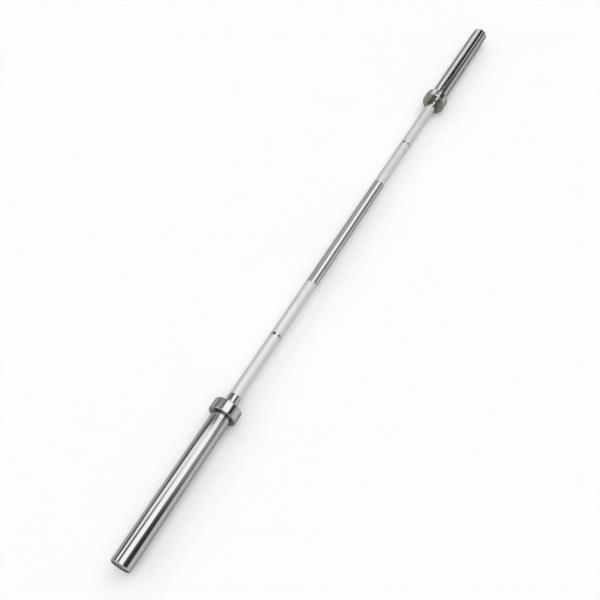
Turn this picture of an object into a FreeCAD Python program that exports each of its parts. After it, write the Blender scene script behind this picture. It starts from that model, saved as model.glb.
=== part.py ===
import FreeCAD, Part
import os
import re
import Sketcher

# An olympic barbell: a one-piece shaft with two sleeves that turn on its ends.
# The bar lies along X with its centre at the origin. Every size is in millimetres.

SIZES = {
    # The bar as a whole
    "overall_length": 2200,
    "between_collars": 1310,
    # The shaft's grip: smooth centre, knurled stretches, a ring mark in each, smooth necks
    "smooth_centre_length": 440,
    "ring_mark_spacing": 840,
    "ring_mark_width": 5,
    "neck_length": 30,
    "knurl_relief": 0.1,
    # The shaft's journals
    "shoulder_height": 2,
    "journal_relief": 0.25,
    "relief_margin": 4,
    "journal_chamfer": 1.5,
    "shoulder_chamfer": 0.5,
    # The sleeve tube
    "sleeve_diameter": 50,
    "sleeve_wall": 6.5,
    "sleeve_end_round_share": 0.75,
    "spigot_step": 3,
    "spigot_chamfer": 0.6,
    "undercut_width": 2,
    "undercut_depth": 0.5,
    "mouth_chamfer": 0.4,
    # The stop collar
    "collar_diameter": 75,
    "collar_length": 32,
    "collar_round": 2.5,
    "lip_depth": 6,
    "lip_chamfer": 0.5,
    # The flanged bushes
    "bush_wall": 4.43,
    "bush_length": 50,
    "bush_chamfer": 1,
    "grease_groove_width": 4,
    "grease_groove_depth": 1,
    "flange_width": 1.5,
    "flange_thickness": 3,
    # The thrust stack
    "washer_thickness": 2,
    "washer_chamfer": 0.3,
    "backing_thickness": 2,
    # The spring ring on the journal
    "shaft_ring_thickness": 1.5,
    "shaft_ring_back": 3.2,
    "shaft_ring_tip": 2.2,
    "shaft_ear_diameter": 5,
    "shaft_ear_hole": 2,
    "shaft_ear_wall": 1,
    "shaft_ring_gap": 5,
    "shaft_groove_depth": 0.7,
    "shaft_land": 4,
    # The end cap and the spring ring that holds it
    "cap_ledge": 0.7,
    "cap_thickness": 6,
    "cap_rim_width": 5,
    "cap_setback": 0.5,
    "cap_boss_chamfer": 1,
    "cap_dimple_diameter": 5,
    "cap_dimple_depth": 2,
    "cap_dimple_floor": 1,
    "cap_standoff": 3,
    "cap_ring_thickness": 1.75,
    "cap_ring_back": 3.6,
    "cap_ring_tip": 2.6,
    "cap_ear_diameter": 5,
    "cap_ear_hole": 2.5,
    "cap_ear_wall": 0.75,
    "cap_ring_gap": 7,
    "cap_groove_depth": 1.25,
    "cap_land": 3,
    # Clearances: on a radius where the pieces are round, along X for the float and the slack
    "seat_clearance": 0.02,
    "running_clearance": 0.05,
    "washer_clearance": 0.15,
    "rim_clearance": 0.3,
    "end_float": 0.1,
    "groove_slack": 0.1,
}

# Stations along X, outward from the bar's centre
COLLAR_INNER = "between_collars / 2"
COLLAR_OUTER = f"{COLLAR_INNER} + collar_length"
COLLAR_SEAT = f"{COLLAR_OUTER} - undercut_width"
SPIGOT_END = f"{COLLAR_INNER} + lip_depth"
INNER_FLANGE = f"{SPIGOT_END} - flange_thickness"
INNER_WASHER = f"{INNER_FLANGE} - end_float - washer_thickness"
SHOULDER = f"{INNER_WASHER} - end_float"
SLEEVE_END = "overall_length / 2"
CAP_GROOVE_OUTER = f"{SLEEVE_END} - cap_land"
CAP_GROOVE_INNER = f"{CAP_GROOVE_OUTER} - cap_ring_thickness - groove_slack"
CAP_SEAT = f"{CAP_GROOVE_INNER} - cap_thickness"
SHAFT_END = f"{CAP_SEAT} - cap_standoff"
SHAFT_GROOVE_OUTER = f"{SHAFT_END} - shaft_land"
SHAFT_RING = f"{SHAFT_GROOVE_OUTER} - shaft_ring_thickness"
SHAFT_GROOVE_INNER = f"{SHAFT_RING} - groove_slack"
BACKING = f"{SHAFT_RING} - backing_thickness"
OUTER_WASHER = f"{BACKING} - end_float - washer_thickness"
OUTER_FLANGE = f"{OUTER_WASHER} - end_float - flange_thickness"
KNURL_START = "smooth_centre_length / 2"
RING_MARK_START = "ring_mark_spacing / 2 - ring_mark_width / 2"
RING_MARK_END = "ring_mark_spacing / 2 + ring_mark_width / 2"
KNURL_END = f"{COLLAR_INNER} - neck_length"
RELIEF_START = f"{INNER_FLANGE} + bush_length + relief_margin"
RELIEF_END = f"{OUTER_FLANGE} + flange_thickness - bush_length - relief_margin"

# Diameters, inward from the sleeve's outside: walls, steps and clearances
SLEEVE_BORE = "sleeve_diameter - 2 * sleeve_wall"
SPIGOT = "sleeve_diameter - 2 * spigot_step"
UNDERCUT = "sleeve_diameter - 2 * undercut_depth"
COLLAR_MOUTH = "sleeve_diameter + 2 * rim_clearance"
COLLAR_BORE = f"{SPIGOT} + 2 * seat_clearance"
BUSH_OUTSIDE = f"{SLEEVE_BORE} - 2 * seat_clearance"
BUSH_BORE = f"{BUSH_OUTSIDE} - 2 * bush_wall"
JOURNAL = f"{BUSH_BORE} - 2 * running_clearance"
RELIEF = f"{JOURNAL} - 2 * journal_relief"
SHAFT_GROOVE = f"{JOURNAL} - 2 * shaft_groove_depth"
SHAFT = f"{JOURNAL} + 2 * shoulder_height"
KNURL_BLANK = f"{SHAFT} - 2 * knurl_relief"
FLANGE = f"{SLEEVE_BORE} + 2 * flange_width"
WASHER_BORE = f"{JOURNAL} + 2 * washer_clearance"
WASHER_OUTSIDE = f"{FLANGE} - 2 * rim_clearance"
CHAMBER = f"{FLANGE} + 2 * rim_clearance"
CAP_MOUTH = f"{CHAMBER} + 2 * cap_ledge"
CAP_OUTSIDE = f"{CAP_MOUTH} - 2 * seat_clearance"
CAP_GROOVE = f"{CAP_MOUTH} + 2 * cap_groove_depth"
END_ROUND = f"(sleeve_diameter - ({CAP_MOUTH})) / 2 * sleeve_end_round_share"
AXIS = "0"

# The left end is the right end turned half round about Z.
SIDES = {"left": 180, "right": 0}

doc = FreeCAD.newDocument("olympic_barbell")
sheet = doc.addObject("Spreadsheet::Sheet", "Sizes")
for row, (name, number) in enumerate(SIZES.items(), start=1):
    sheet.set(f"A{row}", name)
    sheet.set(f"B{row}", str(number))
    sheet.setAlias(f"B{row}", name)
doc.recompute()


def cells(formula):
    """The formula with each size's name pointing at its cell in the sheet."""
    return re.sub(r"[a-z]\w*", r"Sizes.\g<0>", formula)


def value(formula):
    return float(sheet.evalExpression(cells(formula)))


def origin_plane(body, role):
    for feature in body.Origin.OriginFeatures:
        if feature.Role == role:
            return feature
    raise LookupError(role)


def new_body(label, side):
    body = doc.addObject("PartDesign::Body", label)
    body.Label = label
    half_turn = FreeCAD.Rotation(FreeCAD.Vector(0, 0, 1), SIDES[side])
    body.Placement = FreeCAD.Placement(FreeCAD.Vector(), half_turn)
    return body


def new_sketch(body, name, role):
    sketch = body.newObject("Sketcher::SketchObject", f"{body.Name}_{name}")
    sketch.AttachmentSupport = (origin_plane(body, role), [""])
    sketch.MapMode = "FlatFace"
    return sketch


def bind(sketch, kind, elements, formula):
    """One dimension of a sketch, bound to the sheet."""
    number = sketch.addConstraint(Sketcher.Constraint(kind, *elements, value(formula)))
    sketch.setExpression(f"Constraints[{number}]", cells(formula))


def turn(body, outline):
    """The body revolved about X from an outline of (station, diameter) corners."""
    sketch = new_sketch(body, "outline", "XY_Plane")
    corners = [FreeCAD.Vector(value(x), value(d) / 2, 0) for x, d in outline]
    last = len(corners) - 1
    for index, corner in enumerate(corners):
        following = 0 if index == last else index + 1
        sketch.addGeometry(Part.LineSegment(corner, corners[following]), False)
    for index, (station, diameter) in enumerate(outline):
        following = 0 if index == last else index + 1
        sketch.addConstraint(Sketcher.Constraint("Coincident", index, 2, following, 1))
        if station == AXIS:
            sketch.addConstraint(Sketcher.Constraint("PointOnObject", index, 1, -2))
        else:
            bind(sketch, "DistanceX", (-1, 1, index, 1), station)
        if diameter == AXIS:
            sketch.addConstraint(Sketcher.Constraint("PointOnObject", index, 1, -1))
        else:
            bind(sketch, "DistanceY", (-1, 1, index, 1), f"({diameter}) / 2")
    turned = body.newObject("PartDesign::Revolution", f"{body.Name}_turned")
    turned.Profile = sketch
    turned.ReferenceAxis = (sketch, ["H_Axis"])
    turned.Angle = 360
    doc.recompute()
    return turned


def rims(feature, places):
    """The names of the round edges at these (station, diameter) places."""
    close = value("seat_clearance") / 2
    found = []
    for number, edge in enumerate(feature.Shape.Edges, start=1):
        if not isinstance(edge.Curve, Part.Circle):
            continue
        for station, diameter in places:
            along = abs(edge.Curve.Center.x - value(station))
            across = abs(edge.Curve.Radius - value(diameter) / 2)
            if along < close and across < close:
                found.append(f"Edge{number}")
    if len(found) != len(places):
        raise ValueError(f"{feature.Name}: {len(found)} rims found at {len(places)} places")
    return found


def dress(body, kind, size, places):
    """Rounds (Fillet, Radius) or breaks (Chamfer, Size) the rims of a turned body."""
    base = body.Tip
    feature = body.newObject(f"PartDesign::{kind}", f"{body.Name}_{kind.lower()}")
    feature.Base = (base, rims(base, places))
    feature.setExpression("Radius" if kind == "Fillet" else "Size", cells(size))
    doc.recompute()


def add_circle(sketch, diameter, across=0, up=0):
    """A circle of a bound diameter. Where its centre lies is for the caller to bind."""
    middle = FreeCAD.Vector(across, up, 0)
    circle = Part.Circle(middle, FreeCAD.Vector(0, 0, 1), value(diameter) / 2)
    index = sketch.addGeometry(circle, False)
    bind(sketch, "Diameter", (index,), diameter)
    return index


def ring_sketch(body, name, station):
    """A sketch square to X at a bound station."""
    sketch = new_sketch(body, name, "YZ_Plane")
    sketch.setExpression("AttachmentOffset.Base.z", cells(station))
    return sketch


def ear_circles(sketch, diameter, reach, spread):
    """Two circles beside the gap: the centres lie a bound distance from the axis and from each other."""
    half = value(spread) / 2
    height = (value(reach) ** 2 - half**2) ** 0.5
    for sign in (-1, 1):
        index = add_circle(sketch, diameter, sign * half, height)
        bind(sketch, "Distance", (-1, 1, index, 3), reach)
        ends = (index, 3, -1, 1) if sign < 0 else (-1, 1, index, 3)
        bind(sketch, "DistanceX", ends, f"({spread}) / 2")


def gap_rectangle(sketch, width, height):
    """A slot from the axis upwards, centred on the gap of the ring."""
    half = value(width) / 2
    top = value(height)
    corners = [(-half, 0), (half, 0), (half, top), (-half, top)]
    points = [FreeCAD.Vector(x, y, 0) for x, y in corners]
    first = sketch.GeometryCount
    for index in range(len(points)):
        line = Part.LineSegment(points[index - 1], points[index])
        sketch.addGeometry(line, False)
    left, bottom, right, over = (first + index for index in range(len(points)))
    for here, there in ((left, bottom), (bottom, right), (right, over), (over, left)):
        sketch.addConstraint(Sketcher.Constraint("Coincident", here, 2, there, 1))
    sketch.addConstraint(Sketcher.Constraint("Vertical", left))
    sketch.addConstraint(Sketcher.Constraint("Vertical", right))
    sketch.addConstraint(Sketcher.Constraint("Horizontal", over))
    sketch.addConstraint(Sketcher.Constraint("PointOnObject", bottom, 1, -1))
    sketch.addConstraint(Sketcher.Constraint("PointOnObject", bottom, 2, -1))
    bind(sketch, "DistanceX", (left, 2, -1, 1), f"{width} / 2")
    bind(sketch, "DistanceX", (-1, 1, bottom, 2), f"{width} / 2")
    bind(sketch, "DistanceY", (-1, 1, right, 2), height)


def spring_ring(label, side, station, seat, kind, outward):
    """An open spring ring with two eared tips. Its seat edge is round and its free edge is off centre,
    so that the band is widest opposite the gap. The ears stand outward on a shaft, inward in a bore."""
    body = new_body(label, side)
    thickness = f"{kind}_ring_thickness"
    sign = "+" if outward else "-"
    free = f"{seat} {sign} {kind}_ring_back {sign} {kind}_ring_tip"
    offset = f"({kind}_ring_back - {kind}_ring_tip) / 2"
    band = ring_sketch(body, "band", station)
    seat_edge = add_circle(band, seat)
    band.addConstraint(Sketcher.Constraint("Coincident", seat_edge, 3, -1, 1))
    free_edge = add_circle(band, free)
    band.addConstraint(Sketcher.Constraint("PointOnObject", free_edge, 3, -2))
    ends = (free_edge, 3, -1, 1) if outward else (-1, 1, free_edge, 3)
    bind(band, "DistanceY", ends, offset)
    doc.recompute()
    pad = body.newObject("PartDesign::Pad", f"{label}_band_pad")
    pad.Profile = band
    pad.setExpression("Length", cells(thickness))
    doc.recompute()

    reach = f"({seat} {sign} {kind}_ear_diameter) / 2"
    spread = f"{kind}_ring_gap + {kind}_ear_hole + 2 * {kind}_ear_wall"
    ears = ring_sketch(body, "ears", station)
    ear_circles(ears, f"{kind}_ear_diameter", reach, spread)
    ear_pad = body.newObject("PartDesign::Pad", f"{label}_ear_pad")
    ear_pad.Profile = ears
    ear_pad.setExpression("Length", cells(thickness))
    doc.recompute()

    before = body.Shape.Volume
    openings = ring_sketch(body, "openings", station)
    ear_circles(openings, f"{kind}_ear_hole", reach, spread)
    gap_rectangle(openings, f"{kind}_ring_gap", f"({seat}) / 2 + {kind}_ear_diameter")
    cut = body.newObject("PartDesign::Pocket", f"{label}_cut")
    cut.Profile = openings
    cut.Type = "Length"
    cut.setExpression("Length", cells(thickness))
    cut.Reversed = True
    doc.recompute()
    if body.Shape.Volume >= before:
        raise ValueError(f"{label}: the gap and the ear holes cut nothing")
    return body


def bar_shaft():
    """The one-piece bar: half of it is turned, from the centre to one end, and then mirrored."""
    body = new_body("bar_shaft", "right")
    turn(
        body,
        [
            (AXIS, AXIS),
            (AXIS, SHAFT),
            (KNURL_START, SHAFT),
            (KNURL_START, KNURL_BLANK),
            (RING_MARK_START, KNURL_BLANK),
            (RING_MARK_START, SHAFT),
            (RING_MARK_END, SHAFT),
            (RING_MARK_END, KNURL_BLANK),
            (KNURL_END, KNURL_BLANK),
            (KNURL_END, SHAFT),
            (SHOULDER, SHAFT),
            (SHOULDER, JOURNAL),
            (RELIEF_START, JOURNAL),
            (RELIEF_START, RELIEF),
            (RELIEF_END, RELIEF),
            (RELIEF_END, JOURNAL),
            (SHAFT_GROOVE_INNER, JOURNAL),
            (SHAFT_GROOVE_INNER, SHAFT_GROOVE),
            (SHAFT_GROOVE_OUTER, SHAFT_GROOVE),
            (SHAFT_GROOVE_OUTER, JOURNAL),
            (SHAFT_END, JOURNAL),
            (SHAFT_END, AXIS),
        ],
    )
    dress(body, "Chamfer", "journal_chamfer", [(SHAFT_END, JOURNAL)])
    dress(body, "Chamfer", "shoulder_chamfer", [(SHOULDER, SHAFT)])
    whole = body.newObject("PartDesign::Mirrored", "bar_shaft_whole")
    whole.TransformMode = "Whole shape"
    whole.MirrorPlane = (origin_plane(body, "YZ_Plane"), [""])
    body.Tip = whole
    doc.recompute()
    return body


def sleeve_tube(side):
    """The tube that the plates ride on. Its spigot and the shoulder beside the undercut carry the collar."""
    body = new_body(f"{side}_sleeve_tube", side)
    turn(
        body,
        [
            (SPIGOT_END, SLEEVE_BORE),
            (SPIGOT_END, SPIGOT),
            (COLLAR_SEAT, SPIGOT),
            (COLLAR_SEAT, UNDERCUT),
            (COLLAR_OUTER, UNDERCUT),
            (COLLAR_OUTER, "sleeve_diameter"),
            (SLEEVE_END, "sleeve_diameter"),
            (SLEEVE_END, CAP_MOUTH),
            (CAP_GROOVE_OUTER, CAP_MOUTH),
            (CAP_GROOVE_OUTER, CAP_GROOVE),
            (CAP_GROOVE_INNER, CAP_GROOVE),
            (CAP_GROOVE_INNER, CAP_MOUTH),
            (CAP_SEAT, CAP_MOUTH),
            (CAP_SEAT, CHAMBER),
            (OUTER_FLANGE, CHAMBER),
            (OUTER_FLANGE, SLEEVE_BORE),
        ],
    )
    dress(body, "Fillet", END_ROUND, [(SLEEVE_END, "sleeve_diameter")])
    dress(body, "Chamfer", "spigot_chamfer", [(SPIGOT_END, SPIGOT)])
    dress(body, "Chamfer", "mouth_chamfer", [(SLEEVE_END, CAP_MOUTH)])
    return body


def stop_collar(side):
    """The ring that the first plate stops on. It sits on the spigot, and its lip traps a bush's flange."""
    body = new_body(f"{side}_stop_collar", side)
    turn(
        body,
        [
            (COLLAR_INNER, CHAMBER),
            (COLLAR_INNER, "collar_diameter"),
            (COLLAR_OUTER, "collar_diameter"),
            (COLLAR_OUTER, COLLAR_MOUTH),
            (COLLAR_SEAT, COLLAR_MOUTH),
            (COLLAR_SEAT, COLLAR_BORE),
            (SPIGOT_END, COLLAR_BORE),
            (SPIGOT_END, CHAMBER),
        ],
    )
    outer_rims = [(COLLAR_INNER, "collar_diameter"), (COLLAR_OUTER, "collar_diameter")]
    dress(body, "Fillet", "collar_round", outer_rims)
    dress(body, "Chamfer", "lip_chamfer", [(COLLAR_INNER, CHAMBER)])
    return body


def flanged_bush(label, side, flange_face, tube_sign):
    """A flanged bearing: the flange lies on the thrust side and the tube runs away from it."""
    body = new_body(label, side)
    seat = f"{flange_face} {tube_sign} flange_thickness"
    tail = f"{flange_face} {tube_sign} bush_length"
    groove_middle = f"{flange_face} {tube_sign} bush_length / 2"
    groove_near = f"{groove_middle} - grease_groove_width / 2"
    groove_far = f"{groove_middle} + grease_groove_width / 2"
    if tube_sign == "-":
        groove_near, groove_far = groove_far, groove_near
    groove = f"{BUSH_BORE} + 2 * grease_groove_depth"
    turn(
        body,
        [
            (flange_face, BUSH_BORE),
            (flange_face, FLANGE),
            (seat, FLANGE),
            (seat, BUSH_OUTSIDE),
            (tail, BUSH_OUTSIDE),
            (tail, BUSH_BORE),
            (groove_far, BUSH_BORE),
            (groove_far, groove),
            (groove_near, groove),
            (groove_near, BUSH_BORE),
        ],
    )
    dress(body, "Chamfer", "bush_chamfer", [(tail, BUSH_OUTSIDE)])
    return body


def washer(label, side, station, thickness):
    body = new_body(label, side)
    far = f"{station} + {thickness}"
    turn(
        body,
        [
            (station, WASHER_BORE),
            (station, WASHER_OUTSIDE),
            (far, WASHER_OUTSIDE),
            (far, WASHER_BORE),
        ],
    )
    dress(body, "Chamfer", "washer_chamfer", [(station, WASHER_OUTSIDE), (far, WASHER_OUTSIDE)])
    return body


def end_cap(side):
    """The plug that closes the sleeve. The spring ring lies on its rim, and its boss comes through the ring
    to just inside the sleeve's end."""
    body = new_body(f"{side}_end_cap", side)
    boss = f"{CAP_MOUTH} - 2 * cap_rim_width"
    face = f"{SLEEVE_END} - cap_setback"
    floor = f"{face} - cap_dimple_depth"
    turn(
        body,
        [
            (CAP_SEAT, AXIS),
            (CAP_SEAT, CAP_OUTSIDE),
            (CAP_GROOVE_INNER, CAP_OUTSIDE),
            (CAP_GROOVE_INNER, boss),
            (face, boss),
            (face, "cap_dimple_diameter"),
            (floor, "cap_dimple_floor"),
            (floor, AXIS),
        ],
    )
    dress(body, "Chamfer", "cap_boss_chamfer", [(face, boss)])
    return body


def one_end(side):
    """Every piece of one end of the bar, from the shaft's shoulder outward."""
    shaft_seat = f"{SHAFT_GROOVE} + 2 * seat_clearance"
    cap_seat = f"{CAP_GROOVE} - 2 * seat_clearance"
    return [
        sleeve_tube(side),
        stop_collar(side),
        washer(f"{side}_inner_thrust_washer", side, INNER_WASHER, "washer_thickness"),
        flanged_bush(f"{side}_inner_bush", side, INNER_FLANGE, "+"),
        flanged_bush(f"{side}_outer_bush", side, f"{OUTER_FLANGE} + flange_thickness", "-"),
        washer(f"{side}_outer_thrust_washer", side, OUTER_WASHER, "washer_thickness"),
        washer(f"{side}_backing_washer", side, BACKING, "backing_thickness"),
        spring_ring(f"{side}_retaining_ring", side, SHAFT_RING, shaft_seat, "shaft", True),
        end_cap(side),
        spring_ring(f"{side}_end_cap_ring", side, CAP_GROOVE_INNER, cap_seat, "cap", False),
    ]


pieces = [bar_shaft()]
for side in SIDES:
    pieces += one_end(side)
doc.recompute()

for thing in doc.Objects:
    if "Invalid" in thing.State or "Error" in thing.State:
        raise RuntimeError(f"{thing.Label} failed: {thing.State}")
for piece in pieces:
    shape = piece.Shape
    if shape.isNull() or not shape.isValid() or len(shape.Solids) != 1:
        raise RuntimeError(f"{piece.Label} isn't one valid solid")

os.makedirs("parts", exist_ok=True)
for piece in pieces:
    piece.Shape.exportStep(f"parts/{piece.Label}.step")
    print(f"{piece.Label}: {piece.Shape.Volume / 1000:.1f} cubic centimetres")
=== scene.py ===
# %% [markdown]
# # An olympic barbell
# The real bar is a turned steel shaft about 2.2 m long. Its grips are knurled and chromed, and on each
# end a polished sleeve turns on bronze bushes and carries the plates. The solids come from CAD at their
# real size, so nothing here moves or resizes them. Blender could model the bar again from cylinders,
# but then every fit would have to be found twice. This lesson keeps the solids as a fixed frame, gives
# each one its finish, adds the teeth of the knurl on lands that CAD leaves plain, and lights the bar.
# All lengths are metres. X runs along the bar, Z is up, and the origin is the middle of the bar.

# %% Load the solids
import math

import bpy
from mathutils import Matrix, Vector


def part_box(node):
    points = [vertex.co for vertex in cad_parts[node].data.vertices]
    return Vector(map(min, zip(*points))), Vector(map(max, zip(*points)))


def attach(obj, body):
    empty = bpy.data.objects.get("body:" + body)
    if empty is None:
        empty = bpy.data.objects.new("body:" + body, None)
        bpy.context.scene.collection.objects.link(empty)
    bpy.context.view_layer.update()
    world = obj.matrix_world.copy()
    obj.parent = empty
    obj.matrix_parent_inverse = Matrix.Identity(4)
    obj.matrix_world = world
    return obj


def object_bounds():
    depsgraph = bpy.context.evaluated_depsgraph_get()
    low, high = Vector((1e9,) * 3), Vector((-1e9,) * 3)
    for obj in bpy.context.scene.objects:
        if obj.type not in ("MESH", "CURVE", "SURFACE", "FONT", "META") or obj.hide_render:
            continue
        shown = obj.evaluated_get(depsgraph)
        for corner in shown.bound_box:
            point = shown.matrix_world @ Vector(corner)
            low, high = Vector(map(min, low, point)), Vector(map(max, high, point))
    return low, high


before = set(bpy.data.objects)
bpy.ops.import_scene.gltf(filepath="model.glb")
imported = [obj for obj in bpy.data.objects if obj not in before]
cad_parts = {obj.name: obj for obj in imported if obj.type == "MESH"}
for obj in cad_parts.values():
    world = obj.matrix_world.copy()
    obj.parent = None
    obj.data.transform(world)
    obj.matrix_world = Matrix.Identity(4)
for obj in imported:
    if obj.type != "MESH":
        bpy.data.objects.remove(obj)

cad_low, cad_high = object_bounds()
print("bar is", round(cad_high.x - cad_low.x, 4), "m long and has", len(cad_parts), "pieces")

# %% [markdown]
# ## Reading the shaft's outline
# A turned piece is known once its radius is known at each place along its axis. The knurled lands of
# the shaft are turned a hair below the smooth grip, so that the teeth can stand up from them. Their
# places could be typed in again, but reading them off the vertices keeps this script true if the bar
# changes: of all the rings between the two collars, the ones with the smallest radius bound the lands.

# %% Find the knurled lands
RING_DIGITS = 5


def turned_rings(node):
    """The place along X and the radius of each ring of vertices on the +X half of a turned piece."""
    points = [vertex.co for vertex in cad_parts[node].data.vertices if vertex.co.x > 0]
    rings = {(round(p.x, RING_DIGITS), round(math.hypot(p.y, p.z), RING_DIGITS)) for p in points}
    return sorted(rings)


collar_low, collar_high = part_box("right_stop_collar")
grip_rings = [(x, radius) for x, radius in turned_rings("bar_shaft") if x < collar_low.x]
blank_radius = min(radius for x, radius in grip_rings)
land_edges = sorted({x for x, radius in grip_rings if radius == blank_radius})
lands = list(zip(land_edges[0::2], land_edges[1::2]))
print("lands of radius", blank_radius, "on each side at", lands)

# %% [markdown]
# ## Sums with sockets
# A finish is a graph of small nodes, and a sum such as 1 - 0.5 * mask takes two of them. Adding each
# node and link by hand is long and hides the sum. This class wraps an output socket, so that Python's
# own signs add the Math nodes, and its add method makes a node of any other kind: the settings are put
# in first, because some of them change which sockets a node has, and then the values or wires.

# %% A wire that does sums
class Wire:
    """An output socket of a node tree, or only the tree while nothing is made yet."""

    def __init__(self, tree, socket=None):
        self.tree = tree
        self.socket = socket

    def add(self, kind, settings=None, inputs=None, output=None):
        """Makes a node and returns the output that has this identifier, or its first one."""
        made = self.tree.nodes.new(kind)
        for name, value in (settings or {}).items():
            setattr(made, name, value)
        sockets = {socket.identifier: socket for socket in made.inputs}
        for name, value in (inputs or {}).items():
            if isinstance(value, Wire):
                self.tree.links.new(value.socket, sockets[name])
            else:
                sockets[name].default_value = value
        outputs = {socket.identifier: socket for socket in made.outputs}
        if not outputs:
            return self
        return Wire(self.tree, outputs[output] if output else made.outputs[0])

    def math(self, operation, *values):
        """One Math node on up to three values or wires."""
        names = ("Value", "Value_001", "Value_002")
        return self.add("ShaderNodeMath", {"operation": operation}, dict(zip(names, values)))

    def __add__(self, other):
        return self.math("ADD", self, other)

    def __radd__(self, other):
        return self.math("ADD", other, self)

    def __sub__(self, other):
        return self.math("SUBTRACT", self, other)

    def __rsub__(self, other):
        return self.math("SUBTRACT", other, self)

    def __mul__(self, other):
        return self.math("MULTIPLY", self, other)

    def __rmul__(self, other):
        return self.math("MULTIPLY", other, self)

    def __truediv__(self, other):
        return self.math("DIVIDE", self, other)

    def axes(self):
        """The X, Y and Z of a vector, each as a wire of its own."""
        split = self.add("ShaderNodeSeparateXYZ", inputs={"Vector": self}).socket.node
        return [Wire(self.tree, socket) for socket in split.outputs]

    def rise(self, low, high):
        """0 below low, 1 above high, and a smooth step between them."""
        ends = {"Value": self, "From Min": low, "From Max": high}
        return self.add("ShaderNodeMapRange", {"interpolation_type": "SMOOTHSTEP"}, ends)

    def window(self, start, full, fade, end):
        """0 outside start and end, 1 from full to fade, and smooth steps between."""
        return self.rise(start, full) - self.rise(fade, end)


print("wires do sums with + - * / and reach other nodes through add")

# %% [markdown]
# ## Where a point is on the bar
# A pattern needs to know which point of the metal it is drawing on. Texture Coordinate has several
# answers. This lesson takes Object coordinates, because every piece sits at the origin, so they are the
# frame's own metres: a pattern can be given as a count of marks in a metre, and it stays on its piece
# when a sleeve turns.

# %% Coordinates, radius and noise
def place_on(nodes):
    """The point of the piece that is being drawn, in metres."""
    return nodes.add("ShaderNodeTexCoord", output="Object")


def radius_of(nodes):
    """How far a point is from the axis of the bar."""
    y, z = place_on(nodes).axes()[1:]
    return nodes.math("SQRT", y * y + z * z)


def noise(nodes, per_metre, detail=2.0):
    """A noise with its own count of marks in a metre along X, Y and Z."""
    inputs = {"Vector": place_on(nodes), "Vector_001": per_metre}
    scaled = nodes.add("ShaderNodeVectorMath", {"operation": "MULTIPLY"}, inputs, "Vector")
    return nodes.add("ShaderNodeTexNoise", inputs={"Vector": scaled, "Scale": 1.0, "Detail": detail})


print("patterns can read the point, its radius and a noise")

# %% [markdown]
# ## Patterns that the finishes share
# Three things mark a bar like this. A lathe leaves rings, which are the same all the way round, so a
# noise that reads only the place along the bar and the radius draws them on a wall and on a face alike.
# Plates and hands leave fine marks along the bar, which is a noise stretched out along X. And handling
# leaves soft patches of haze. Painted pictures could hold such marks too, but a noise has no seam, and
# its marks are as fine up close as from a step away.

# %% Lathe rings, rubbed lines and haze
RUBS_PER_METRE = (5.0, 1400.0, 1400.0)
RUB_LEVELS = (0.62, 0.72)
HAZES_PER_METRE = (14.0, 45.0, 45.0)
HAZE_LEVELS = (0.45, 0.75)


def lathe_rings(nodes, per_metre):
    """A noise that is the same all the way round the bar, as a turning tool leaves it."""
    x = place_on(nodes).axes()[0]
    across = nodes.add("ShaderNodeCombineXYZ", inputs={"X": x, "Y": radius_of(nodes)})
    inputs = {"Vector": across, "Scale": per_metre, "Detail": 3.0}
    return nodes.add("ShaderNodeTexNoise", {"noise_dimensions": "2D"}, inputs)


def rubbed_lines(nodes):
    """Sparse fine lines along the bar, 1 on a line."""
    return noise(nodes, RUBS_PER_METRE).rise(*RUB_LEVELS)


def haze(nodes):
    """Soft patches, a few centimetres wide, where the finish was handled."""
    return noise(nodes, HAZES_PER_METRE, detail=4.0).rise(*HAZE_LEVELS)


print("patterns ready: lathe rings, rubbed lines, haze")

# %% [markdown]
# ## From patterns to a finish
# Every piece is metal, so each finish is one Principled shader with Metallic at 1 and three things that
# change over the surface: its colour, its roughness and the small height that Bump turns into slopes.
# Metallic is the same all over, so it is set on the socket itself. Colours are mixed by a Mix node,
# because a Math node would turn them grey.

# %% One metal shader for all finishes
def new_finish(name):
    """An empty material and the wire that its nodes grow from."""
    made = bpy.data.materials.new(name)
    made.use_nodes = True
    made.node_tree.nodes.clear()
    return made, Wire(made.node_tree)


def grey(level):
    """A neutral colour."""
    return (level, level, level, 1.0)


def mix(nodes, amount, first, second):
    """A colour between two colours, nearer the second one where the amount is large."""
    inputs = {"Factor_Float": amount, "A_Color": first, "B_Color": second}
    return nodes.add("ShaderNodeMix", {"data_type": "RGBA"}, inputs, "Result_Color")


def as_metal(nodes, colour, roughness, height, depth, edge=1.0):
    """Ends a material: a metal with marks of this depth in metres, whose rim mirrors an edge share."""
    slope = nodes.add("ShaderNodeBump", inputs={"Height": height, "Distance": depth, "Strength": 1.0})
    inputs = {
        "Base Color": colour,
        "Metallic": 1.0,
        "Roughness": roughness,
        "Specular Tint": grey(edge),
        "Normal": slope,
    }
    shader = nodes.add("ShaderNodeBsdfPrincipled", inputs=inputs)
    nodes.add("ShaderNodeOutputMaterial", inputs={"Surface": shader})


print("metal shader ready")

# %% [markdown]
# ## Painted shade on the flat faces of the collars
# A collar is turned and its ends are turned flat, its wall is polished, and then it is plated. The
# polishing wheel doesn't reach the two flat faces, so they are rougher, the outer one, where plates knock
# against it, a little more. Their colours are darkened as painted shade, which stands in for a darker
# reflection of the floor beside the collar: the inner one, beside the grip, is a warm grey, and the outer
# one is a little paler. They could have materials of their own, but then the solid would need a seam. A
# mask that reads the place along the bar does the same in one finish, and both collars share it,
# because they are equally far from the middle.

# %% Painted shade on the collar's faces
# Painted shade: darker colours for the two flat faces, standing in for a darker reflection of the floor.
INNER_FACE_SHADE = (0.250, 0.240, 0.226, 1.0)
OUTER_FACE_SHADE = (0.330, 0.330, 0.326, 1.0)
INNER_ROUGHNESS = 0.02
OUTER_ROUGHNESS = 0.06
FACE_DEPTH = 0.0001
RIM_DEPTH = 0.0008


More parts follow.
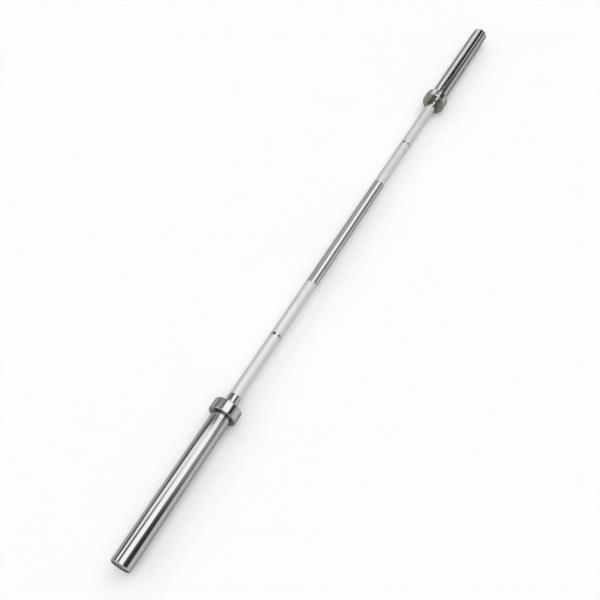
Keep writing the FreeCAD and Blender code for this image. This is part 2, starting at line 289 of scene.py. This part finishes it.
def faces_with_shade(nodes, colour, roughness):
    """A collar's colour and roughness with the painted shade and the roughness of its two flat faces laid
    over them.
    """
    from_centre = nodes.math("ABSOLUTE", place_on(nodes).axes()[0])
    inner = 1 - from_centre.rise(collar_low.x + FACE_DEPTH, collar_low.x + RIM_DEPTH)
    outer = from_centre.rise(collar_high.x - RIM_DEPTH, collar_high.x - FACE_DEPTH)
    # Lay the painted shade of the faces over the chrome's colour.
    colour = mix(nodes, inner, colour, INNER_FACE_SHADE)
    colour = mix(nodes, outer, colour, OUTER_FACE_SHADE)
    return colour, roughness + INNER_ROUGHNESS * inner + OUTER_ROUGHNESS * outer


print("collar faces at", round(collar_low.x, 4), "and", round(collar_high.x, 4), "m")

# %% [markdown]
# ## Polished chrome
# The sleeves and collars are ground, polished and chromed. Chromium reflects a little over half of the
# light, and a handled plate less, so its colour is a mid grey: the brightness in a picture of chrome is
# the brightness of what it mirrors. A glossy shader with one roughness would do, but a perfect mirror
# looks computed. So the plate gets a long slow wave, lengthwise rubbing from plates sliding on and off,
# and haze. The collar is the same plate over a turned ring, so its lathe rings are stronger and its
# rubbing weaker.

# %% Chrome of the sleeves, the collars and the smooth grip
CHROME = (0.460, 0.463, 0.468, 1.0)
CHROME_HAZED = (0.425, 0.428, 0.430, 1.0)
CHROME_EDGE = 0.25
PLATE_ROUGHNESS = 0.045
HAZE_ROUGHNESS = 0.05
RUB_ROUGHNESS = 0.10
RING_ROUGHNESS = 0.06
PLATE_RINGS_PER_METRE = 1500.0
WAVES_PER_METRE = (7.0, 20.0, 20.0)
WAVE_DEPTH = 0.0002
MARK_SHARE = 0.02


def polished_chrome(name, ring_share, rub_share, face_shade=False):
    """Mirror plate whose lathe rings and rubbed lines show by the given shares, with painted shade on the
    flat faces if asked.
    """
    made, nodes = new_finish(name)
    smear = haze(nodes)
    rings = lathe_rings(nodes, PLATE_RINGS_PER_METRE)
    lines = rubbed_lines(nodes)
    colour = mix(nodes, smear, CHROME, CHROME_HAZED)
    roughness = PLATE_ROUGHNESS + HAZE_ROUGHNESS * smear
    roughness = roughness + RUB_ROUGHNESS * rub_share * lines + RING_ROUGHNESS * ring_share * rings
    # The collars' flat faces get painted shade.
    if face_shade:
        colour, roughness = faces_with_shade(nodes, colour, roughness)
    wave = noise(nodes, WAVES_PER_METRE, detail=0.0)
    height = wave + MARK_SHARE * ring_share * rings - MARK_SHARE * rub_share * lines
    as_metal(nodes, colour, roughness, height, WAVE_DEPTH, CHROME_EDGE)
    return made


sleeve_finish = polished_chrome("sleeve_polish", ring_share=0.2, rub_share=1.0)
# The collars' chrome, with painted shade on its flat faces.
collar_chrome_with_face_shade = polished_chrome("collar_polish_and_face_shade", ring_share=0.4, rub_share=0.4, face_shade=True)
grip_finish = polished_chrome("grip_polish", ring_share=0.3, rub_share=0.7)
print("chrome:", [made.name for made in (sleeve_finish, collar_chrome_with_face_shade, grip_finish)])

# %% [markdown]
# ## Chrome on the knurl
# The same plate lies over the teeth, but it isn't polished there, and thousands of small slopes face
# every way, so from a step away the grips look pale and satin. Up close the points are worn smooth by
# hands and paler in colour, while the grooves between them are rougher and darker in colour. A
# second material on the points would need faces of its own. The radius tells points from grooves, so it
# is all that this finish needs to know.

# %% Satin chrome of the teeth
TOOTH_HEIGHT = 0.00016
GROOVE_GREY = 0.60
POINT_GREY = 0.96
KNURL_EDGE = 0.2
GROOVE_ROUGHNESS = 0.44
POINT_POLISH = 0.12
GRAIN_ROUGHNESS = 0.06
PATCH_ROUGHNESS = 0.05
GRAINS_PER_METRE = (2600.0, 2600.0, 2600.0)
GRAIN_DEPTH = 0.00001
PATCHES_PER_METRE = (30.0, 90.0, 90.0)
PATCH_LEVELS = (0.4, 0.7)


def knurl_chrome():
    """Satin plate, brighter and smoother towards the points of the teeth."""
    made, nodes = new_finish("knurl_satin")
    points = radius_of(nodes).rise(blank_radius, blank_radius + TOOTH_HEIGHT)
    grain = noise(nodes, GRAINS_PER_METRE, detail=3.0)
    patches = noise(nodes, PATCHES_PER_METRE, detail=4.0).rise(*PATCH_LEVELS)
    colour = mix(nodes, points, grey(GROOVE_GREY), grey(POINT_GREY))
    roughness = GROOVE_ROUGHNESS - POINT_POLISH * points
    roughness = roughness + GRAIN_ROUGHNESS * grain + PATCH_ROUGHNESS * patches
    as_metal(nodes, colour, roughness, grain, GRAIN_DEPTH, KNURL_EDGE)
    return made


knurl_finish = knurl_chrome()
print("knurl:", knurl_finish.name)

# %% [markdown]
# ## Bronze and ground steel
# Each sleeve turns on two bronze bushes between two bronze thrust washers, and a ground steel washer
# backs the outer one. Only a rim of bronze shows while the bar is whole, and a plain colour would do for
# the rest, but someone may take the model apart. So bronze browns in oiled patches over its lathe
# rings, and the steel has straight lines from the grinding wheel.

# %% Metals of the bushes and washers
BRONZE = (0.39, 0.32, 0.185, 1.0)
BRONZE_STAINED = (0.20, 0.16, 0.095, 1.0)
BRONZE_ROUGHNESS = 0.26
STAIN_ROUGHNESS = 0.12
TOOL_ROUGHNESS = 0.12
STAINS_PER_METRE = (180.0, 180.0, 180.0)
STAIN_LEVELS = (0.45, 0.7)
BRONZE_RINGS_PER_METRE = 3000.0
BRONZE_RING_DEPTH = 0.00001
STEEL_GREYS = (0.50, 0.60)
STEEL_ROUGHNESS = 0.24
GRIND_ROUGHNESS = 0.14
GRINDS_PER_METRE = (200.0, 200.0, 6000.0)
GRIND_DEPTH = 0.000004


def bearing_bronze():
    """Turned bronze with brown oiled patches."""
    made, nodes = new_finish("bearing_bronze")
    stain = noise(nodes, STAINS_PER_METRE, detail=5.0).rise(*STAIN_LEVELS)
    rings = lathe_rings(nodes, BRONZE_RINGS_PER_METRE)
    colour = mix(nodes, stain, BRONZE, BRONZE_STAINED)
    roughness = BRONZE_ROUGHNESS + STAIN_ROUGHNESS * stain + TOOL_ROUGHNESS * rings
    as_metal(nodes, colour, roughness, rings, BRONZE_RING_DEPTH)
    return made


def ground_steel():
    """Steel with the straight fine lines of a grinding wheel."""
    made, nodes = new_finish("ground_washer")
    lines = noise(nodes, GRINDS_PER_METRE)
    dark, light = STEEL_GREYS
    colour = mix(nodes, lines, grey(dark), grey(light))
    as_metal(nodes, colour, STEEL_ROUGHNESS + GRIND_ROUGHNESS * lines, lines, GRIND_DEPTH)
    return made


bronze_finish = bearing_bronze()
washer_finish = ground_steel()
print("bearings:", bronze_finish.name, "and", washer_finish.name)

# %% [markdown]
# ## Spring rings and the end cap
# A spring ring in a groove keeps each sleeve on its journal, and another keeps the cap in the sleeve.
# They are cut from rolled strip, which leaves a fine even grain, and oil darkens them in patches. One
# steel could serve for the rings and the cap, but the cap is a turned plug with the same plate as the
# sleeve. It isn't polished, so it takes the chrome's two greys and shows the tool's rings much more
# strongly.

# %% Metals of the rings and the cap
SPRING_GREYS = (0.42, 0.27)
SPRING_ROUGHNESS = 0.34
ROLLED_ROUGHNESS = 0.15
OIL_SMOOTHING = 0.10
ROLLED_PER_METRE = (3500.0, 3500.0, 3500.0)
ROLLED_DEPTH = 0.000008
OILS_PER_METRE = (260.0, 260.0, 260.0)
OIL_LEVELS = (0.50, 0.75)
CAP_ROUGHNESS = 0.12
CAP_RING_ROUGHNESS = 0.12
CAP_RINGS_PER_METRE = 1900.0
CAP_RING_DEPTH = 0.00003


def rolled_spring():
    """Bright rolled spring steel, fine-grained, with darker oiled patches."""
    made, nodes = new_finish("rolled_spring")
    grain = noise(nodes, ROLLED_PER_METRE, detail=4.0)
    oil = noise(nodes, OILS_PER_METRE, detail=5.0).rise(*OIL_LEVELS)
    clean, oiled = SPRING_GREYS
    colour = mix(nodes, oil, grey(clean), grey(oiled))
    roughness = SPRING_ROUGHNESS + ROLLED_ROUGHNESS * grain - OIL_SMOOTHING * oil
    as_metal(nodes, colour, roughness, grain, ROLLED_DEPTH)
    return made


def turned_cap():
    """A chromed plug that still shows the turning tool's rings."""
    made, nodes = new_finish("turned_cap")
    rings = lathe_rings(nodes, CAP_RINGS_PER_METRE)
    smear = haze(nodes)
    colour = mix(nodes, smear, CHROME, CHROME_HAZED)
    roughness = CAP_ROUGHNESS + CAP_RING_ROUGHNESS * rings + HAZE_ROUGHNESS * smear
    as_metal(nodes, colour, roughness, rings, CAP_RING_DEPTH, CHROME_EDGE)
    return made


spring_finish = rolled_spring()
cap_finish = turned_cap()
print("rings and cap:", spring_finish.name, "and", cap_finish.name)

# %% [markdown]
# ## Dressing the solids
# A CAD solid keeps its mesh and its place, and only the material in its slot is changed. The record
# names a slot for each node, and the loader has put a plain material of that name on it. Each of the
# pieces could be given its finish by name, but most of them come in pairs or fours. So one table takes
# each slot to its finish, and the collars, which share a slot with the sleeves, are named apart.

# %% Put a finish on every piece
finishes = {
    "shaft_chrome": grip_finish,
    "sleeve_chrome": sleeve_finish,
    "cap_chrome": cap_finish,
    "bronze": bronze_finish,
    "washer_steel": washer_finish,
    "spring_steel": spring_finish,
}
for name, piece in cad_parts.items():
    for slot in piece.material_slots:
        slot.material = collar_chrome_with_face_shade if name.endswith("stop_collar") else finishes[slot.material.name]
print("dressed", len(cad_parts), "pieces in", len(finishes) + 1, "finishes")

# %% [markdown]
# ## The knurl as a rule
# A knurling tool rolls two sets of slanting grooves into the land, and what is left between them is a
# diamond pyramid. Cutting thousands of grooves with booleans would be slow and fragile. There is a
# simpler rule: on a grid with half a tooth between its lines, every second crossing is a point and every
# other one is where two grooves meet, like the two colours of a chessboard. So Geometry Nodes make a
# flat grid, set the height of each crossing by that rule and wrap the grid round the bar. The teeth
# grow over the first rows, as they do under a real tool, and the end rows dip below the land. One more
# row leads back inside to the start, so the piece is a closed shell once the doubles are merged.

# %% A chessboard of teeth round the bar
MERGE_DISTANCE = 0.00001


def knurl_grid(nodes, given):
    """A flat chessboard of points and groove crossings, wrapped round the bar and closed."""
    rows = given["Rows"]
    columns = 2 * given["Teeth Around"]
    sizes = {"Size X": rows + 1, "Size Y": columns, "Vertices X": rows + 2, "Vertices Y": columns + 1}
    flat = nodes.add("GeometryNodeMeshGrid", inputs=sizes)
    x, y = nodes.add("GeometryNodeInputPosition").axes()[:2]
    row = nodes.math("FLOORED_MODULO", nodes.math("ROUND", x + (rows + 1) / 2), rows + 1)
    column = nodes.math("ROUND", y + columns / 2)
    from_end = nodes.math("MINIMUM", row, rows - row)
    sunk = nodes.math("LESS_THAN", from_end, 0.5)
    point = 1 - nodes.math("FLOORED_MODULO", row + column, 2)
    grown = nodes.math("MINIMUM", from_end / given["Growing Rows"], 1)
    height = given["Root Height"] + given["Tooth Height"] * point * grown
    radius = given["Land Radius"] + height * (1 - sunk) - given["End Depth"] * sunk
    turn = column * (2 * math.pi) / columns
    place = {
        "X": given["Land Start"] + (given["Land End"] - given["Land Start"]) * row / rows,
        "Y": radius * nodes.math("SINE", turn),
        "Z": radius * nodes.math("COSINE", turn),
    }
    wrapped = nodes.add("ShaderNodeCombineXYZ", inputs=place)
    round_bar = nodes.add("GeometryNodeSetPosition", inputs={"Geometry": flat, "Position": wrapped})
    doubles = {"Geometry": round_bar, "Distance": MERGE_DISTANCE}
    closed = nodes.add("GeometryNodeMergeByDistance", inputs=doubles)
    return nodes.add("GeometryNodeTriangulate", {"quad_method": "SHORTEST_DIAGONAL"}, {"Mesh": closed})


print("rule of the teeth ready, doubles merged within", MERGE_DISTANCE, "m")

# %% [markdown]
# ## The same land on the other half
# Both halves of the bar are knurled alike. The second land could be mirrored, but a mirror turns a mesh
# inside out. Half a turn about Z takes the land to the other end too and keeps its faces outwards. So
# the teeth are an instance on two points, which lie at the middle of the bar: the first point leaves
# them as they are and the second one turns them.

# %% Both halves of the bar
def both_ends(nodes, teeth):
    """The land once as it is and once turned half round about Z, on the other half of the bar."""
    pair = nodes.add("GeometryNodeMeshLine", inputs={"Count": 2, "Offset": (0.0, 0.0, 0.0)})
    half_turn = nodes.add("GeometryNodeInputIndex") * math.pi
    about_z = {"Axis": (0.0, 0.0, 1.0), "Angle": half_turn}
    turned = nodes.add("FunctionNodeAxisAngleToRotation", inputs=about_z)
    inputs = {"Points": pair, "Instance": teeth, "Rotation": turned}
    return nodes.add("GeometryNodeInstanceOnPoints", inputs=inputs)


print("each land is made once and used on both halves")

# %% [markdown]
# ## One tree for every land
# The lands differ in place and length. Their sizes could be written into the nodes, but then each land
# would need a tree of its own. So the tree gets them through named inputs, and a modifier fills them in.
# It adds its teeth to the geometry that comes in, which lets several lands stack up on one object.
# Realize Instances makes the two halves plain geometry, because an export drops instances, and Set
# Material comes last, so that nothing loses its finish on the way.

# %% Geometry Nodes for one knurled land
KNURL_INPUTS = {
    "Land Start": "NodeSocketFloat",
    "Land End": "NodeSocketFloat",
    "Land Radius": "NodeSocketFloat",
    "Tooth Height": "NodeSocketFloat",
    "Root Height": "NodeSocketFloat",
    "End Depth": "NodeSocketFloat",
    "Teeth Around": "NodeSocketInt",
    "Rows": "NodeSocketInt",
    "Growing Rows": "NodeSocketInt",
    "Finish": "NodeSocketMaterial",
}


def knurl_tree():
    """A tree that adds the teeth of one land, at both ends of the bar, to what it is given."""
    tree = bpy.data.node_groups.new("diamond_knurl", "GeometryNodeTree")
    before = tree.interface.new_socket("Before", in_out="INPUT", socket_type="NodeSocketGeometry")
    after = tree.interface.new_socket("Knurl", in_out="OUTPUT", socket_type="NodeSocketGeometry")
    nodes = Wire(tree)
    size = {}
    for label, kind in KNURL_INPUTS.items():
        made = tree.interface.new_socket(label, in_out="INPUT", socket_type=kind)
        size[label] = made.identifier
    given = {label: nodes.add("NodeGroupInput", output=name) for label, name in size.items()}

    ends = both_ends(nodes, knurl_grid(nodes, given))
    joined = nodes.add("GeometryNodeJoinGeometry", inputs={"Geometry": ends})
    earlier = nodes.add("NodeGroupInput", output=before.identifier)
    tree.links.new(earlier.socket, joined.socket.node.inputs[0])
    real = nodes.add("GeometryNodeRealizeInstances", inputs={"Geometry": joined})
    done = nodes.add("GeometryNodeSetMaterial", inputs={"Geometry": real, "Material": given["Finish"]})
    nodes.add("NodeGroupOutput", inputs={after.identifier: done})
    return tree, size


knurling, knurl_size = knurl_tree()
print("tree", knurling.name, "has", len(knurling.nodes), "nodes and the inputs", list(knurl_size))

# %% [markdown]
# ## Rolling the knurl
# A usual bar has about sixteen teeth to the inch round the shaft, and grooves at thirty degrees to the
# axis, so the diamonds are longer than they are wide. The tree is put on the same object once for each
# land: each modifier adds its teeth to those before it. The result is then made a plain mesh, because
# an export keeps meshes and drops what is only worked out while Blender runs.

# %% Make the teeth
TEETH_AROUND = 64
GROOVE_ANGLE = math.radians(30)
LAND_MARGIN = 0.0002
ROOT_HEIGHT = 0.00002
END_DEPTH = 0.0003
GROWING_ROWS = 3
half_tooth = math.pi * blank_radius / TEETH_AROUND / math.tan(GROOVE_ANGLE)
rolling = bpy.data.objects.new("rolling", bpy.data.meshes.new("rolling"))
bpy.context.scene.collection.objects.link(rolling)
for start, end in lands:
    values = {
        "Land Start": start + LAND_MARGIN,
        "Land End": end - LAND_MARGIN,
        "Land Radius": blank_radius,
        "Tooth Height": TOOTH_HEIGHT,
        "Root Height": ROOT_HEIGHT,
        "End Depth": END_DEPTH,
        "Teeth Around": TEETH_AROUND,
        "Rows": round((end - start - 2 * LAND_MARGIN) / half_tooth),
        "Growing Rows": GROWING_ROWS,
        "Finish": knurl_finish,
    }
    modifier = rolling.modifiers.new("knurl", "NODES")
    modifier.node_group = knurling
    for label, value in values.items():
        modifier[knurl_size[label]] = value
depsgraph = bpy.context.evaluated_depsgraph_get()
teeth_mesh = bpy.data.meshes.new_from_object(rolling.evaluated_get(depsgraph))
bpy.data.objects.remove(rolling)
teeth_mesh.name = "shaft_knurl"
knurl = bpy.data.objects.new("shaft_knurl", teeth_mesh)
bpy.context.scene.collection.objects.link(knurl)
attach(knurl, "shaft")
print("knurl has", len(teeth_mesh.polygons), "triangles")

# %% [markdown]
# ## The floor
# The bar lies on its two collars on a plain pale floor, which fills the picture and keeps the soft
# shadow under the bar. A white world with no floor would be quicker, but then the bar would float, and
# the lower half of the chrome would have nothing to mirror.

# %% A pale floor under the collars
FLOOR_HALF = 40.0
FLOOR_GREY = 0.945
FLOOR_SIGNS = ((-1, -1), (1, -1), (1, 1), (-1, 1))
corners = [(x * FLOOR_HALF, y * FLOOR_HALF, cad_low.z) for x, y in FLOOR_SIGNS]
floor_mesh = bpy.data.meshes.new("floor")
floor_mesh.from_pydata(corners, [], [(0, 1, 2, 3)])
floor = bpy.data.objects.new("floor", floor_mesh)
bpy.context.scene.collection.objects.link(floor)
floor_paint, floor_nodes = new_finish("floor_paint")
matt = floor_nodes.add("ShaderNodeBsdfDiffuse", inputs={"Color": grey(FLOOR_GREY)})
floor_nodes.add("ShaderNodeOutputMaterial", inputs={"Surface": matt})
floor_mesh.materials.append(floor_paint)
print("floor at", round(cad_low.z, 4), "m")

# %% [markdown]
# ## Directions in the studio
# Chrome has no look of its own: it shows the room. So the room is what makes it read as chrome. Lamps
# could be hung round the bar, but a bar this long mirrors a wide strip of the room, and it is simpler to
# paint the room on the world, where every ray sees it alike. The wall of a bar along X turns a ray about
# X and leaves alone the share of it that runs along X. So a place in the room is an angle round the bar,
# 0 at the horizon behind it, 90 overhead and 180 at the horizon in front, and a share along the bar, 0
# square to it and 1 at its ends.

# %% Angle round the bar and share along it
studio = bpy.data.worlds.new("studio")
studio.use_nodes = True
studio.node_tree.nodes.clear()
room = Wire(studio.node_tree)
along, back, up = room.add("ShaderNodeTexCoord", output="Generated").axes()
angle = room.math("ARCTAN2", up, back) * (180 / math.pi)
share = room.math("ABSOLUTE", along)
print("the room has", len(studio.node_tree.nodes), "nodes for its directions")

# %% [markdown]
# ## Panels over the near sleeve
# A photographer lights chrome with white panels and dark gaps between them, because in an even room it
# would look like grey paint. Panels could be glowing planes, but painted ones get soft edges at no
# cost. Each is a strength, a window of angles and a window of shares, and a window has four edges: where
# it starts, is full, begins to fade and ends. Shares lie between 0 and 1, so a window that starts below
# them or ends above them is open on that side. The near sleeve mirrors the shares up to about 0.37. Its
# panels hang a little askew, so their angles are read from an angle that turns along the sleeve.

# %% Panels that the near sleeve mirrors
FROM_MIDDLE = (-2, -1)
NEAR_ASKEW = 20
NEAR_ASKEW_SHARES = (0.14, 0.37)
near_turn = angle - NEAR_ASKEW * share.rise(*NEAR_ASKEW_SHARES)
NEAR_PANELS = {
    "ceiling": (1.88, (68, 76, 113, 121), (*FROM_MIDDLE, 0.360, 0.368)),
    "back": (1.65, (26, 34, 50, 56), (*FROM_MIDDLE, 0.345, 0.368)),
    "back_low": (1.45, (18, 24, 26, 34), (0.18, 0.24, 0.32, 0.36)),
    "gap": (0.10, (50, 56, 69, 76), (*FROM_MIDDLE, 0.360, 0.368)),
    "gap_late": (1.25, (50, 56, 69, 76), (0.20, 0.33, 0.345, 0.368)),
    "front": (0.14, (113, 121, 128, 148), (*FROM_MIDDLE, 0.360, 0.368)),
    "front_late": (0.40, (113, 121, 150, 165), (0.22, 0.32, 0.360, 0.368)),
}


def painted(panels, turn):
    """The light of some panels, each a strength, a window of angles and a window of shares."""
    light = 0
    for strength, angles, shares in panels.values():
        light = light + strength * turn.window(*angles) * share.window(*shares)
    return light


near_light = painted(NEAR_PANELS, near_turn)
print("the near sleeve mirrors", len(NEAR_PANELS), "panels")

# %% [markdown]
# ## Panels over the collars and the far sleeve
# Past the near sleeve come the near collar, the grip, the far collar and the far sleeve, each with its
# own stretch of shares. One long ceiling panel could serve them all, but the collars stand out from the
# bar only if what they mirror differs from what lies beside them. So the ceiling ends at the far collar,
# and each collar and the far sleeve have panels of their own.

# %% Panels that the collars and the far sleeve mirror
TO_END = (2, 3)
FAR_ASKEW = 8
FAR_ASKEW_SHARES = (0.58, 0.70)
far_turn = angle + FAR_ASKEW * share.rise(*FAR_ASKEW_SHARES)
FAR_PANELS = {
    "ceiling": (1.88, (76, 84, 126, 134), (0.364, 0.370, 0.759, 0.7625)),
    "collar_back": (0.62, (27, 34, 52, 86), (0.364, 0.370, 0.384, 0.40)),
    "collar_front": (0.80, (150, 168, 184, 190), (0.364, 0.370, 0.384, 0.40)),
    "end_front": (0.30, (154, 168, 178, 188), (0.750, 0.760, *TO_END)),
    "end_collar_strip": (2.10, (106, 112, 122, 129), (0.7585, 0.761, 0.766, 0.769)),
    "end_back": (1.65, (18, 38, 68, 84), (0.758, 0.762, *TO_END)),
    "end_back_tip": (0.90, (68, 84, 84, 96), (0.780, 0.810, *TO_END)),
    "end_strip": (0.98, (123, 131, 140, 148), (0.766, 0.800, *TO_END)),
}
far_light = painted(FAR_PANELS, far_turn)
print("the collars and the far sleeve mirror", len(FAR_PANELS), "panels")

# %% [markdown]
# ## Panels along the grip
# The satin knurl gathers light from all round, so it needs wide panels on both sides to look pale. The
# ring marks are smooth bands in the knurl, and they read as dark dashes because a narrow part of the
# room is all that they mirror. Painting the marks black would be false to the metal, so the panels
# have two narrow gaps at the shares that the marks mirror, which the rough knurl blurs away.

# %% Panels that the grip mirrors
GRIP_PANELS = {
    "back": (0.50, (8, 30, 52, 84), (0.384, 0.44, 0.735, 0.757)),
    "back_centre": (0.35, (8, 30, 52, 84), (0.53, 0.56, 0.67, 0.70)),
    "front": (0.30, (128, 138, 176, 184), (0.384, 0.44, 0.750, 0.760)),
    "front_grip": (0.85, (128, 138, 176, 186), (0.40, 0.43, 0.52, 0.55)),
    "front_far_grip": (0.50, (128, 138, 176, 186), (0.675, 0.69, 0.735, 0.752)),
}
GRIP_GAPS = ((0.466, 0.474, 0.494, 0.502), (0.702, 0.710, 0.726, 0.734))
GAP_DARKNESS = 0.9
grip_gaps = sum(share.window(*edges) for edges in GRIP_GAPS)
grip_light = painted(GRIP_PANELS, far_turn) * (1 - GAP_DARKNESS * grip_gaps)
print("the grip mirrors", len(GRIP_PANELS), "panels with", len(GRIP_GAPS), "gaps")

# %% [markdown]
# ## The rest of the room
# The neck beside the far collar faces the collar's own flat face, which turns a ray back along the bar.
# So the light that both show comes from the near end of the room, where one narrow lamp hangs. The rest
# is a dim wall behind the panels, and a pale band above the horizon, as where a studio's paper sweeps up
# from the floor: it keeps the view along the floor white from every side. The strengths are set so that
# the floor is just white.

# %% Paint the room on the world
DARK = 0.04
LAMP = 7.0
LAMP_ANGLES = (98, 106, 136, 144)
LAMP_PLACES = (-0.780, -0.772, -0.744, -0.736)
PANEL_END = (0.83, 0.87)
WALL = 0.20
WALL_GAIN = 0.20
WALL_GAIN_SHARES = (0.27, 0.40)
WALL_LOSS = 0.25
WALL_LOSS_SHARES = (0.755, 0.765, *PANEL_END)
WALL_TOP = (0.34, 0.44)
WALL_LEAN = 0.12
BAND = 0.97
BAND_TOP = (0.01, 0.09)
BAND_LIFT = 0.09
BAND_LIFT_SHARES = (0.36, 0.42)
lamp_light = LAMP * angle.window(*LAMP_ANGLES) * along.window(*LAMP_PLACES)
panels = DARK + near_light + far_light + grip_light + lamp_light
wall_level = WALL + WALL_GAIN * share.rise(*WALL_GAIN_SHARES) - WALL_LOSS * share.window(*WALL_LOSS_SHARES)
wall = wall_level * (1 - (up - WALL_LEAN * back).rise(*WALL_TOP))
above = room.math("MAXIMUM", panels * (1 - share.rise(*PANEL_END)), wall)
band_lift = BAND_LIFT * share.rise(*BAND_LIFT_SHARES)
level = BAND + (above - BAND) * (up - band_lift).rise(*BAND_TOP)
glow = room.add("ShaderNodeBackground", inputs={"Color": level, "Strength": 1.0})
room.add("ShaderNodeOutputWorld", inputs={"Surface": glow})
bpy.context.scene.world = studio
print("room painted with", len(studio.node_tree.nodes), "nodes")

# %% [markdown]
# ## The camera
# The picture looks down along the bar from beside its left end, so the near sleeve is large and the far
# one small. The place and the field of view come from how fast the bar narrows: a longer lens from
# further off would make both ends nearly the same size.

# %% Set up the camera
FIELD_OF_VIEW = math.radians(42.57)
EYE = Vector((-1.3908, -0.5967, 1.6656))
AIM = Vector((-0.2835, 0.0010, 0.0))
lens = bpy.data.cameras.new("camera")
lens.sensor_fit = "HORIZONTAL"
lens.angle = FIELD_OF_VIEW
camera = bpy.data.objects.new("camera", lens)
camera.location = EYE
camera.rotation_mode = "QUATERNION"
camera.rotation_quaternion = (AIM - EYE).to_track_quat("-Z", "Y")
bpy.context.scene.collection.objects.link(camera)
bpy.context.scene.camera = camera
bpy.context.scene.view_settings.view_transform = "Standard"
print("camera is", round((AIM - EYE).length, 3), "m from its aim")
